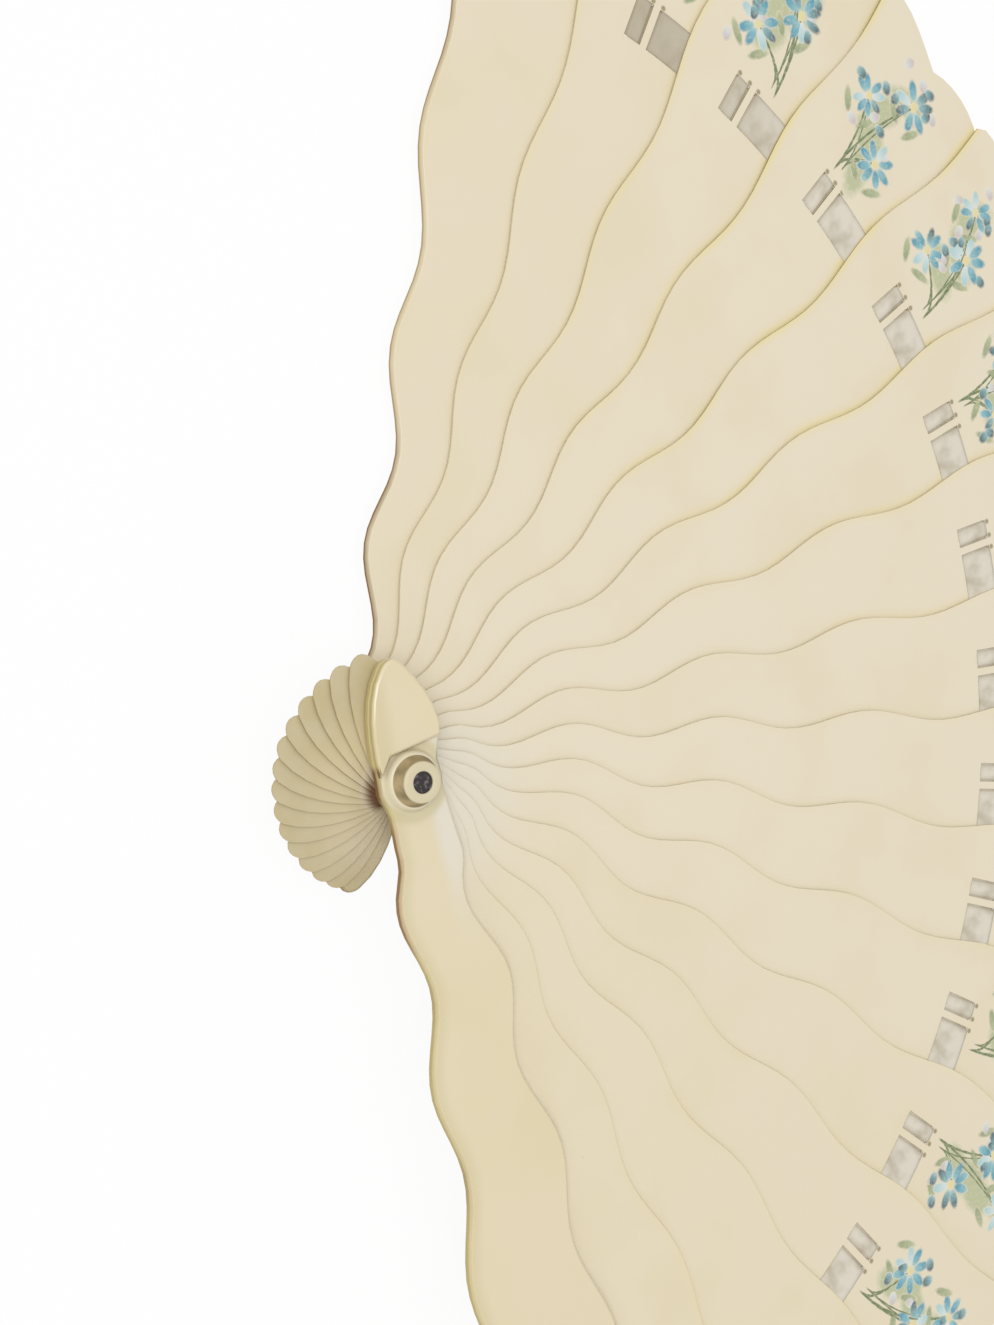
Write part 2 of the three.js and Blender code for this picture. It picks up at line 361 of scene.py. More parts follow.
class Amount:
    """A number that varies over a surface. Python's operators add Math nodes to its material."""

    def __init__(self, finish, socket):
        self.finish = finish
        self.socket = socket

    def math(self, operation, *values, clamp=False):
        """The result of a Math node with these values."""
        settings = {"operation": operation, "use_clamp": clamp}
        return self.finish.node("ShaderNodeMath", settings, dict(enumerate(values)))

    def __add__(self, other):
        return self.math("ADD", self, other)

    def __radd__(self, other):
        return self.math("ADD", other, self)

    def __sub__(self, other):
        return self.math("SUBTRACT", self, other)

    def __rsub__(self, other):
        return self.math("SUBTRACT", other, self)

    def __mul__(self, other):
        return self.math("MULTIPLY", self, other)

    def __rmul__(self, other):
        return self.math("MULTIPLY", other, self)

    def __truediv__(self, other):
        return self.math("DIVIDE", self, other)

    def __neg__(self):
        return self.math("MULTIPLY", self, -1)

    def clamped(self):
        return self.math("ADD", self, 0, clamp=True)

    def at_least(self, other):
        return self.math("MAXIMUM", self, other)

    def logarithm(self):
        return self.math("LOGARITHM", self, math.e)

    def length(self):
        return self.finish.node("ShaderNodeVectorMath", {"operation": "LENGTH"}, {0: self}, "Value")

    def sine(self):
        return self.math("SINE", self)

    def between(self, low, high):
        """0 at low and 1 at high, with a soft start and end. Low may be above high."""
        settings = {"interpolation_type": "SMOOTHSTEP", "data_type": "FLOAT"}
        sockets = {"Value": self, "From Min": min(low, high), "From Max": max(low, high)}
        made = self.finish.node("ShaderNodeMapRange", settings, sockets)
        return made if low < high else 1 - made


class Finish:
    """A material under construction, with one method that makes any node."""

    def __init__(self, name):
        self.material = bpy.data.materials.new(name)
        self.material.use_nodes = True
        self.tree = self.material.node_tree
        self.shader = next(node for node in self.tree.nodes if node.type == "BSDF_PRINCIPLED")

    def node(self, kind, settings=None, sockets=None, output=0):
        """Adds a node, sets its settings, then its sockets' values or links, and returns an output."""
        made = self.tree.nodes.new(kind)
        for name, value in (settings or {}).items():
            setattr(made, name, value)
        for name, value in (sockets or {}).items():
            self.feed(made.inputs[name], value)
        return Amount(self, made.outputs[output])

    def feed(self, socket, value):
        """Links a socket to an amount, or sets its value."""
        if isinstance(value, Amount):
            self.tree.links.new(value.socket, socket)
        elif socket.type == "RGBA":
            socket.default_value = (*value[:3], 1)
        else:
            socket.default_value = value

    def attribute(self, name):
        """A number that is stored on the mesh."""
        return self.node("ShaderNodeAttribute", {"attribute_name": name}, output="Fac")

    def painted(self, name):
        """A colour that is stored on the mesh."""
        return self.node("ShaderNodeAttribute", {"attribute_name": name}, output="Color")

    def vector(self, x, y, z):
        """A vector of three numbers."""
        return self.node("ShaderNodeCombineXYZ", sockets={"X": x, "Y": y, "Z": z})

    def part(self, vector, axis):
        """One of the three numbers of a vector."""
        return self.node("ShaderNodeSeparateXYZ", sockets={"Vector": vector}, output=axis)

    def noise(self, place, scale, detail=2.0):
        """Soft clouds from 0 to 1."""
        sockets = {"Vector": place, "Scale": scale, "Detail": detail, "Roughness": 0.5}
        return self.node("ShaderNodeTexNoise", {"noise_dimensions": "3D"}, sockets, "Fac")

    def mixed(self, share, first, second):
        """The first colour where share is 0 and the second where it is 1."""
        settings = {"data_type": "RGBA", "clamp_factor": True}
        return self.node("ShaderNodeMix", settings, {0: share, 6: first, 7: second}, output=2)

    def facing_up(self):
        """The upward part of the surface's direction."""
        return self.part(self.node("ShaderNodeNewGeometry", output="Normal"), "Z")

    def object_place(self):
        """Object coordinates in millimetres."""
        coordinates = self.node("ShaderNodeTexCoord", output="Object")
        settings = {"operation": "SCALE"}
        return self.node("ShaderNodeVectorMath", settings, {"Vector": coordinates, "Scale": 1 / MM})

    def bump(self, height, strength, distance):
        """The surface's direction on a relief of this height."""
        sockets = {"Strength": strength, "Distance": distance, "Height": height}
        return self.node("ShaderNodeBump", sockets=sockets, output="Normal")

    def set(self, **values):
        """Sets or links the shader's sockets, named with underscores for spaces."""
        for name, value in values.items():
            self.feed(self.shader.inputs[name.replace("_", " ")], value)
        return self.material


def wavy_edge(finish, along, edge):
    """Distance of a wavy edge from the stick's centre line, all in millimetres."""
    x = along - edge["lag"]
    growth = ((x - WAVE_START) * (WAVE_GROWTH / WAVE_LENGTH)).at_least(WAVE_GROWTH - 1)
    phase = (growth + 1).logarithm() * (2 * math.pi / WAVE_GROWTH)
    depth = (WAVE_DEPTH - WAVE_FADING * x).at_least(0) * x.between(*WAVE_FADE_IN) * edge["gain"]
    return edge["half_width"] + edge["taper"] * along - edge["easing"] * along * along + depth * phase.sine()


class Celluloid(Finish):
    """Satin celluloid of the sticks, read in each stick's own frame in millimetres.

    The colours are laid one over another. Each is confined by ranges along the stick, across it, from the
    pin, or from stick to stick.
    """

    def __init__(self):
        super().__init__("celluloid")
        self.colours = bpy.context.scene.fan_colours
        self.along = self.attribute("along")
        self.across = self.attribute("across")
        self.stick = self.attribute("stick")
        self.handled = self.attribute("handled")
        self.is_guard = self.attribute("guard")
        self.is_plate = self.attribute("plate")
        self.is_front = self.stick.between(BLADE_COUNT + 0.4, BLADE_COUNT + 0.6)
        self.is_tail = self.handled * self.along.between(-1, -7)
        self.place = self.vector(self.along, self.across, self.stick * CLOUD_STEP)
        self.from_pin = self.vector(self.along, self.across, 0).length()
        self.amber = self.attribute("amber") * self.along.between(45, 110)
        patches = self.noise(self.vector(self.along, self.stick * PATCH_STEP, 0), 0.045, 1)
        beside_ribbon = self.along.between(130, 141) * self.along.between(158, 149)
        self.patches = patches.between(0.3, 0.6).at_least(beside_ribbon)
        self.facing = self.facing_up()
        self.cut = self.facing.between(0.93, 0.4) * (1 - self.is_plate * self.facing.between(0.6, 0.8))

    def finished(self):
        """The material with all its layers."""
        base = self.dirtied(self.edged(self.marked(self.stained(self.aged()))))
        smear = self.noise(self.place, 0.35, 4)
        relief = self.noise(self.place, 0.12, 2)
        return self.set(
            Base_Color=base,
            Roughness=0.4 + 0.14 * (smear - 0.5) + 0.15 * self.cut,
            Normal=self.bump(relief, 0.08, 0.3 * MM),
            IOR=1.5,
            Specular_IOR_Level=0.35,
        )

    def aged(self):
        """Clouded ivory with a painted sheen to the right of the pin, darker tan tails with painted light
        near the pin, and a greenish boss.
        """
        colours = self.colours
        clouds = self.noise(self.place, 0.045, 3)
        yellow = (self.attribute("age") + clouds.between(0.42, 0.75) * 0.3).clamped()
        base = self.mixed(yellow, colours.ivory, colours.honey)
        # Painted sheen: paler, cooler celluloid to the right of the pin, which also lifts the shadow the
        # front guard casts there; kept off the tail plate
        sheen_share = self.from_pin.between(32, 10) * self.stick.between(4, 9)
        sheen_share = sheen_share * (1 - self.is_front * self.across.between(4, 1))
        base = self.mixed(sheen_share * (1 - self.is_plate) * 0.85, base, colours.haze)
        base = self.mixed(self.is_tail, base, self.tail())
        boss = self.from_pin.between(8, 6.5) * self.is_front * (1 - self.is_plate)
        return self.mixed(boss * 0.9, base, colours.boss)

    def tail(self):
        """Darker tan celluloid of the tails, with painted light where the guard and the boss shade them:
        yellower round the pin and paler on the first blades.
        """
        colours = self.colours
        clouds = self.noise(self.place, 0.22, 3)
        tail = self.mixed(clouds.between(0.3, 0.7), colours.tail, colours.tail_shade)
        # Painted light: near the pin the tails are lifted towards honey, and on the first blades towards
        # ivory, against the shade of the tall guard and boss
        tail = self.mixed(self.from_pin.between(19, 8) * 0.7, tail, colours.honey)
        paler = self.from_pin.between(22, 10) * self.stick.between(7, 2) * 0.5
        return self.mixed(paler, tail, colours.ivory)

    def past_next_edge(self):
        """Distance to the left of the next stick's left edge, which lies over this stick."""
        sockets = {"Vector": self.vector(self.along, self.across, 0), "Angle": self.attribute("opening")}
        turned = self.node("ShaderNodeVectorRotate", {"rotation_type": "Z_AXIS"}, sockets)
        return self.part(turned, "Y") - wavy_edge(self, self.part(turned, "X"), BLADE_LEFT_EDGE)

    def stained(self, base):
        """Yellow stain beside the left edges, painted light on the last blade beside the front guard, and
        painted olive shade along the guard's right edge.
        """
        colours = self.colours
        inside = wavy_edge(self, self.along, BLADE_LEFT_EDGE) - self.across
        outside = self.past_next_edge()
        stain = inside.between(1.8, 0.0).at_least(outside.between(2.2, 0.0) * outside.between(-1, 0))
        base = self.mixed(stain * (0.05 + 0.55 * self.amber * self.patches), base, colours.glow)
        # Painted light: the last blade is paler beside the front guard, lifting the shadow that the guard
        # casts on it
        is_last_blade = self.stick.between(BLADE_COUNT - 0.6, BLADE_COUNT - 0.4) * (1 - self.is_front)
        beside_guard = outside.between(1.4, 0.0) * outside.between(-1, 0) * self.along.between(10, 25)
        base = self.mixed(beside_guard * is_last_blade * 0.6, base, colours.gleam)
        # Painted olive shade along the inside of the front guard's right edge
        guard_side = self.across + wavy_edge(self, self.along, GUARD_RIGHT_EDGE)
        return self.mixed(guard_side.between(3.4, 0.2) * self.is_front * 0.5, base, colours.shade)

    def marked(self, base):
        """Painted shade in dark dots at the outer ends of the slits, and small specks."""
        # Painted shade: a dark dot at the outer end of each slit
        for slit in SLITS:
            from_dot = self.vector(self.along - DOT_RADIUS, self.across - slit, 0).length()
            dot = from_dot.between(0.7, 0.3) * self.attribute("slitted")
            base = self.mixed(dot * 0.75, base, self.colours.dot)
        sockets = {"Vector": self.place, "Scale": 0.06}
        cells = self.node("ShaderNodeTexVoronoi", {"feature": "F1"}, sockets, "Distance")
        speck = cells.between(0.022, 0.008) * self.noise(self.place, 0.03, 0).between(0.5, 0.6)
        return self.mixed(speck * 0.7, base, self.colours.rim)

    def edged(self, base):
        """Cut edges, with painted shade in the guards' dents, painted light on some edges, and a painted
        highlight on the tail plate's bevel.
        """
        colours = self.colours
        along, across, facing = self.along, self.across, self.facing
        edge = self.mixed(self.amber * self.patches, colours.rim, colours.amber_rim)
        # Painted light: the cut edges of the later blades are mixed towards ivory, so the lines between them
        # stay faint
        edge = self.mixed(self.stick.between(7, 10) * 0.6, edge, colours.ivory)
        edge = self.mixed(self.is_tail, edge, colours.tail_rim)
        # Painted shade: brown on the front guard's cut edge near the pin and on the guards' cut edges in the
        # dents
        brown = along.between(3, 9) * along.between(31, 24) * self.is_front
        from_dent = GUARD_DENT_LINE + along * GUARD_RIGHT_EDGE["taper"] + across
        dent = from_dent.between(0.1, 1.6) * along.between(20, 60)
        guard_edge = self.mixed(brown.at_least(dent * 0.5), colours.guard_rim, colours.hollow)
        # Painted light: on its positive-across side the front guard's cut edge keeps the paler blade edge
        # colour, where that edge lies in shade
        edge = self.mixed(self.is_guard * (1 - self.is_front * across.between(0, 2)), edge, guard_edge)
        base = self.mixed(self.cut * 0.9, base, edge)
        # Painted highlight on the upper rounding of the tail plate's outer bevel
        highlight_facing = facing.between(0.98, 0.9) * facing.between(0.71, 0.78)
        gleam = self.is_plate * highlight_facing * across.between(-1, -3) * along.between(-10, -15)
        return self.mixed(gleam * 0.85, base, colours.gleam)

    def dirtied(self, base):
        """Dark brown on the cut edges and tails beside the boss, partly soiling and partly painted shade in
        the crevices there, and on the back guard's outer cut edge.
        """
        along, stick, from_pin = self.along, self.stick, self.from_pin
        # Soiling with painted shade in the crevices where the guards and tails meet the boss
        guards = from_pin.between(7.4, 6.6) * self.cut * self.is_guard * along.between(4, 1)
        tails = from_pin.between(6.9, 5.2) + self.cut * from_pin.between(14, 7)
        tails = tails * self.handled * along.between(1, -2) * stick.between(3, 6) * stick.between(14, 11)
        outer_side = along.between(64, 46).at_least(along.between(105, 125) * 0.5)
        outer_side = outer_side * self.across.between(0, 2)
        outer_side = outer_side * self.cut * self.is_guard * (1 - self.is_front) * 0.9
        dirt = guards.at_least(tails).at_least(outer_side)
        return self.mixed(dirt * 0.9, base, self.colours.dirt)


def celluloid():
    """Celluloid of the blades, the guards and the tail plate."""
    return Celluloid().finished()


def turned_celluloid():
    """Celluloid of the two turned collars, with soiling and painted shade on the front collar's cone."""
    colours = bpy.context.scene.fan_colours
    finish = Finish("turned_celluloid")
    place = finish.object_place()
    rise = finish.part(place, "Z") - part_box("front_collar")[0].z / MM
    clouds = finish.noise(place, 0.5, 3)
    base = finish.mixed(clouds.between(0.4, 0.7) * 0.3, colours.ivory, colours.honey)
    seat = rise.between(*SEAT_END) * rise.between(-0.5, 0)
    base = finish.mixed(seat * 0.8, base, colours.boss)
    base = finish.mixed(rise.between(*LIP_START) * 0.8, base, colours.boss)
    # Soiling with painted shade on the front collar's cone, in smudges of two tones
    cone = rise.between(*CONE_START) * rise.between(*CONE_END)
    smudges = finish.noise(place, 0.3, 2).between(0.3, 0.7)
    grime = finish.mixed(smudges, colours.grime, colours.dark_grime)
    base = finish.mixed(cone * 0.92, base, grime)
    roughness = 0.38 + 0.2 * cone
    normal = finish.bump(finish.noise(place, 1.2, 3), 0.15, 0.1 * MM)
    return finish.set(Base_Color=base, Roughness=roughness, Normal=normal, Specular_IOR_Level=0.35)


def woven_silk():
    """Plain woven silk, read in the ribbon's UV map, whose unit is a millimetre."""
    colours = bpy.context.scene.fan_colours
    finish = Finish("woven_silk")
    uv = finish.node("ShaderNodeUVMap", {"uv_map": "weave"}, output="UV")
    u = finish.part(uv, "X")
    v = finish.part(uv, "Y")
    warp = (v * (2 * math.pi / WARP_PITCH)).sine()
    weft = (u * (2 * math.pi / WEFT_PITCH)).sine()
    weave = (warp * 0.5 + weft * 0.5 + 1) / 2
    clouds = finish.noise(finish.vector(u * 0.22, v * 0.16, 0), 1, 2)
    folds = finish.noise(finish.vector(u * 0.5, v * 0.08, 3), 1, 2)
    shade = (weave * 0.2 + clouds.between(0.2, 0.6) * 0.8).clamped()
    # Painted shade where the ribbon dives into the slits and along its two edges
    for slit in SLITS:
        from_slit = (u - slit).at_least(slit - u)
        shade = shade * (1 - from_slit.between(1.2, 0.2) * 0.25)
    shade = shade * (1 - v.at_least(-v).between(3.0, 4.0) * 0.15)
    base = finish.mixed(shade, colours.silk_shade, colours.silk)
    to_the_right = finish.part(finish.object_place(), "X")
    base = finish.mixed(to_the_right.between(60, 0) * 0.8, base, colours.silk_shade)
    return finish.set(
        Base_Color=base,
        Roughness=0.6 + 0.2 * clouds,
        Normal=finish.bump(weave * 0.15 + folds, 0.2, 0.25 * MM),
        Specular_IOR_Level=0.2,
        Sheen_Weight=0.06,
    )


def dark_steel():
    """Dark metal of the pin with paler, smoother patches on its end."""
    colours = bpy.context.scene.fan_colours
    finish = Finish("dark_steel")
    place = finish.object_place()
    pale_patches = finish.noise(place, 1.1, 3).between(0.5, 0.66)
    pits = finish.noise(place, 3.5, 2)
    base = finish.mixed(pale_patches * 0.8, colours.steel, colours.worn_steel)
    return finish.set(
        Base_Color=base,
        Metallic=0.25,
        Roughness=0.5 - 0.15 * pale_patches + 0.1 * pits,
        Normal=finish.bump(pits + pale_patches * 0.5, 0.4, 0.08 * MM),
        Specular_IOR_Level=0.3,
    )


def paint():
    """Hand laid paint: each dab's own colour, thinner and paler towards its rim."""
    finish = Finish("paint")
    colours = bpy.context.scene.fan_colours
    tone = finish.painted("tone")
    rim = finish.attribute("rim")
    place = finish.object_place()
    bristles = finish.noise(place, 1.6, 3)
    thin = (rim.between(0.6, 1.0) * 0.75 + bristles.between(0.45, 0.75) * 0.3).clamped()
    base = finish.mixed(thin, tone, colours.ivory)
    normal = finish.bump(bristles, 0.3, 0.08 * MM)
    return finish.set(Base_Color=base, Roughness=0.45, Normal=normal, Specular_IOR_Level=0.4)


def backdrop(colour_of_floor):
    """Pale floor that looks white to the camera and still takes a faint shadow."""
    finish = Finish("backdrop")
    finish.set(Base_Color=colour_of_floor, Roughness=1.0, Specular_IOR_Level=0.0)
    path = finish.tree.nodes.new("ShaderNodeLightPath")
    rays = [Amount(finish, path.outputs[f"Is {ray} Ray"]) for ray in ("Camera", "Glossy", "Transmission")]
    seen = (rays[0] + rays[1] + rays[2]).clamped()
    glow = finish.node("ShaderNodeEmission", sockets={"Color": (1, 1, 1), "Strength": 1.0})
    body = Amount(finish, finish.shader.outputs["BSDF"])
    both = finish.node("ShaderNodeMixShader", sockets={0: seen * FLOOR_WHITE, 1: body, 2: glow})
    output = next(node for node in finish.tree.nodes if node.type == "OUTPUT_MATERIAL")
    finish.feed(output.inputs["Surface"], both)
    return finish.material


def material(maker):
    """The material of a maker function, made once."""
    return bpy.data.materials.get(maker.__name__) or maker()


# Meshes


def add_piece(name, bm, finish, smooth=True):
    """Turns a bmesh into an object at the origin with one material."""
    mesh = bpy.data.meshes.new(name)
    for face in bm.faces:
        face.smooth = smooth
    bm.to_mesh(mesh)
    bm.free()
    mesh.materials.append(finish)
    piece = bpy.data.objects.new(name, mesh)
    bpy.context.scene.collection.objects.link(piece)
    return piece


def merged_copy(node):
    """A bmesh copy of a CAD node with its loose triangles merged into flat faces."""
    bm = bmesh.new()
    bm.from_mesh(frame["nodes"][node].data)
    bmesh.ops.remove_doubles(bm, verts=bm.verts, dist=1e-6)
    bmesh.ops.dissolve_limit(bm, angle_limit=math.radians(1), verts=bm.verts, edges=bm.edges)
    return bm


def mark_stick(piece, stick, is_plate):
    """Stores each point's place in its stick's frame, in millimetres, for the celluloid."""
    mesh = piece.data
    to_stick = stick.turn().inverted()
    places = [to_stick @ vertex.co / MM for vertex in mesh.vertices]
    facts = {
        "stick": stick.index,
        "guard": stick.is_guard,
        "plate": is_plate,
        "slitted": not stick.is_guard,
        "handled": stick.index <= BLADE_COUNT,
        "age": stick.age,
        "amber": stick.amber,
        "opening": math.radians(stick.opening),
    }
    columns = {name: [float(value)] * len(places) for name, value in facts.items()}
    columns["along"] = [place.x for place in places]
    columns["across"] = [place.y for place in places]
    for name, values in columns.items():
        mesh.attributes.new(name, "FLOAT", "POINT").data.foreach_set("value", values)


def round_edges(piece, width):
    """Rounds the sharp edges of a piece."""
    bevel = piece.modifiers.new("rounding", "BEVEL")
    bevel.width = width
    bevel.segments = ROUNDING_SEGMENTS
    bevel.limit_method = "ANGLE"
    bevel.angle_limit = math.radians(ROUNDING_ANGLE)
    bevel.harden_normals = True
    bevel.use_clamp_overlap = True


def dress(piece, node):
    """Lets a piece stand for a CAD node and move with its body."""
    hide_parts(node)
    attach(piece, frame["nodes"][node]["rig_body"])


class FAN_OT_sticks(bpy.types.Operator):
    """Make the blades, the two guards and the plate on the front guard's tail"""

    bl_idname = "fan.sticks"
    bl_label = "Sticks"

    def execute(self, context):
        sizes = context.scene.fan_sizes
        finish = material(celluloid)
        for stick in sticks():
            rounding = sizes.guard_rounding if stick.is_guard else sizes.blade_rounding
            self.add(stick.name, stick, finish, rounding)
        self.add("tail_plate", sticks()[-1], finish, sizes.plate_rounding)
        return {"FINISHED"}

    def add(self, node, stick, finish, rounding):
        """A stick with rounded edges. Its level faces are flat shaded, so that they stay without streaks."""
        piece = add_piece(f"{node}_dressed", merged_copy(node), finish)
        for face in piece.data.polygons:
            face.use_smooth = abs(face.normal.z) < LEVEL
        mark_stick(piece, stick, node == "tail_plate")
        round_edges(piece, rounding)
        dress(piece, node)


class FAN_OT_pivot(bpy.types.Operator):
    """Make the pin and its two collars"""

    bl_idname = "fan.pivot"
    bl_label = "Pin and collars"

    def execute(self, context):
        pin_low, pin_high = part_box("pivot_pin")
        bore = pin_high.y / MM
        front = ((bore, 0), *FRONT_COLLAR_PROFILE, (bore, FRONT_COLLAR_BORE_END))
        self.turned("front_collar", front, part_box("front_collar")[0].z, 1)
        back = ((bore, 0), *BACK_COLLAR_PROFILE, (bore, BACK_COLLAR_BORE_END))
        self.turned("back_collar", back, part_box("back_collar")[1].z, -1)
        self.pin(pin_high.y, pin_low.z, pin_high.z)
        return {"FINISHED"}

    def turned(self, node, profile, foot, upwards):
        """Spins a profile of radii and heights over the collar's foot, in millimetres, about the pin."""
        bm = bmesh.new()
        corners = [(radius * MM, 0, foot + upwards * rise * MM) for radius, rise in profile]
        verts = [bm.verts.new(corner) for corner in corners]
        edges = [bm.edges.new(pair) for pair in zip(verts, verts[1:] + verts[:1])]
        bmesh.ops.spin(
            bm,
            geom=verts + edges,
            axis=(0, 0, 1),
            cent=(0, 0, 0),
            angle=2 * math.pi,
            steps=COLLAR_STEPS,
            use_merge=True,
        )
        bmesh.ops.remove_doubles(bm, verts=bm.verts, dist=1e-7)
        bmesh.ops.recalc_face_normals(bm, faces=bm.faces)
        piece = add_piece(f"{node}_dressed", bm, material(turned_celluloid))
        piece.data.set_sharp_from_angle(angle=math.radians(COLLAR_SHARP_ANGLE))
        dress(piece, node)

    def pin(self, radius, low, high):
        """A rod whose upper end is beaten to a low dome with a dimple."""
        bm = bmesh.new()
        bmesh.ops.create_cone(
            bm,
            cap_ends=True,
            segments=PIN_SEGMENTS,
            radius1=radius,
            radius2=radius,
            depth=high - low,
            matrix=Matrix.Translation((0, 0, (low + high) / 2)),
        )
        top = [face for face in bm.faces if face.calc_center_median().z > high - 1e-6]
        for inset, rise in PIN_RINGS:
            bmesh.ops.inset_region(bm, faces=top, thickness=inset * MM, use_even_offset=True)
            verts = {vert for face in top for vert in face.verts}
            bmesh.ops.translate(bm, verts=list(verts), vec=(0, 0, rise * MM))
        rim = [edge for edge in bm.edges if edge.is_manifold and edge.calc_face_angle() > math.radians(60)]
        bmesh.ops.bevel(
            bm,
            geom=rim,
            offset=PIN_RIM_ROUNDING * MM,
            offset_type="OFFSET",
            affect="EDGES",
            segments=ROUNDING_SEGMENTS,
            profile=0.5,
            material=-1,
        )
        piece = add_piece("pivot_pin_dressed", bm, material(dark_steel))
        dress(piece, "pivot_pin")


class FAN_OT_ribbon(bpy.types.Operator):
    """Weave the silk ribbon through the slits, one length between each two sticks"""

    bl_idname = "fan.ribbon"
    bl_label = "Ribbon"

    def execute(self, context):
        for stick in sticks()[:-1]:
            self.add(context.scene.fan_sizes, stick)
        return {"FINISHED"}

    def add(self, sizes, stick):
        """A length from a stick to the next: up, down and up through the slits, then across."""
        woven = stick.index > 0
        turn = stick.turn()
        radius = sizes.ribbon_radius
        lead = RIBBON_LEAD * MM
        half_gap = RIBBON_END_GAP / 2 * MM
        near_end = sizes.first_slit + lead - half_gap if woven else RIBBON_GLUED_START * MM
        far_end = -math.radians(stick.opening) * radius + sizes.first_slit + lead + half_gap
        bm = bmesh.new()
        bmesh.ops.create_grid(bm, x_segments=RIBBON_STEPS_ALONG, y_segments=RIBBON_STEPS_ACROSS, size=0.5)
        weave = bm.loops.layers.uv.new("weave")
        flat = {}
        for vert in bm.verts:
            along = near_end + (far_end - near_end) * (vert.co.x + 0.5)
            across = vert.co.y * sizes.ribbon_width
            droop = abs(vert.co.y * 2) ** 6 * RIBBON_EDGE_DROOP * MM
            height = self.height(sizes, along, woven) - droop
            flat[vert] = (along / MM, across / MM)
            vert.co = turn @ self.about_pin(radius + across, along / radius, height)
        for face in bm.faces:
            for loop in face.loops:
                loop[weave].uv = flat[loop.vert]
        bmesh.ops.recalc_face_normals(bm, faces=bm.faces)
        if sum(face.normal.z for face in bm.faces) < 0:
            bmesh.ops.reverse_faces(bm, faces=bm.faces)
        name = f"ribbon_{stick.index + 1:02d}"
        piece = add_piece(f"{name}_dressed", bm, material(woven_silk))
        cloth = piece.modifiers.new("thickness", "SOLIDIFY")
        cloth.thickness = sizes.ribbon_thickness
        cloth.offset = 0
        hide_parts(name)
        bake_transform(piece)

    def about_pin(self, distance, angle, height=0):
        """A place in the stick's frame, by its distance from the pin and its angle to the left."""
        return Vector((distance * math.cos(angle), distance * math.sin(angle), height))

    def height(self, sizes, along, woven):
        """Height of the ribbon's middle over the stick's face."""
        over = sizes.layer_gap / 2
        under = -sizes.blade_thickness - sizes.layer_gap / 2
        if not woven:
            return over
        share = 0.0
        for slit, direction in ((sizes.first_slit, 1), (sizes.second_slit, -1), (sizes.third_slit, 1)):
            step = min(max((slit - along) / (SLIT_PASSAGE * MM) + 0.5, 0), 1)
            share += direction * step * step * (3 - 2 * step)
        return under + (over - under) * share


class FAN_OT_painting(bpy.types.Operator):
    """Paint a spray of daisies, berries and leaves on the outer end of each blade"""

    bl_idname = "fan.painting"
    bl_label = "Painting"

    def execute(self, context):
        for stick in sticks()[1:-1]:
            spray = Spray(context.scene, stick)
            spray.paint()
            piece = add_piece(f"painting_{stick.index:02d}", spray.bm, material(paint), smooth=False)
            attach(piece, frame["nodes"][stick.name]["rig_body"])
        return {"FINISHED"}


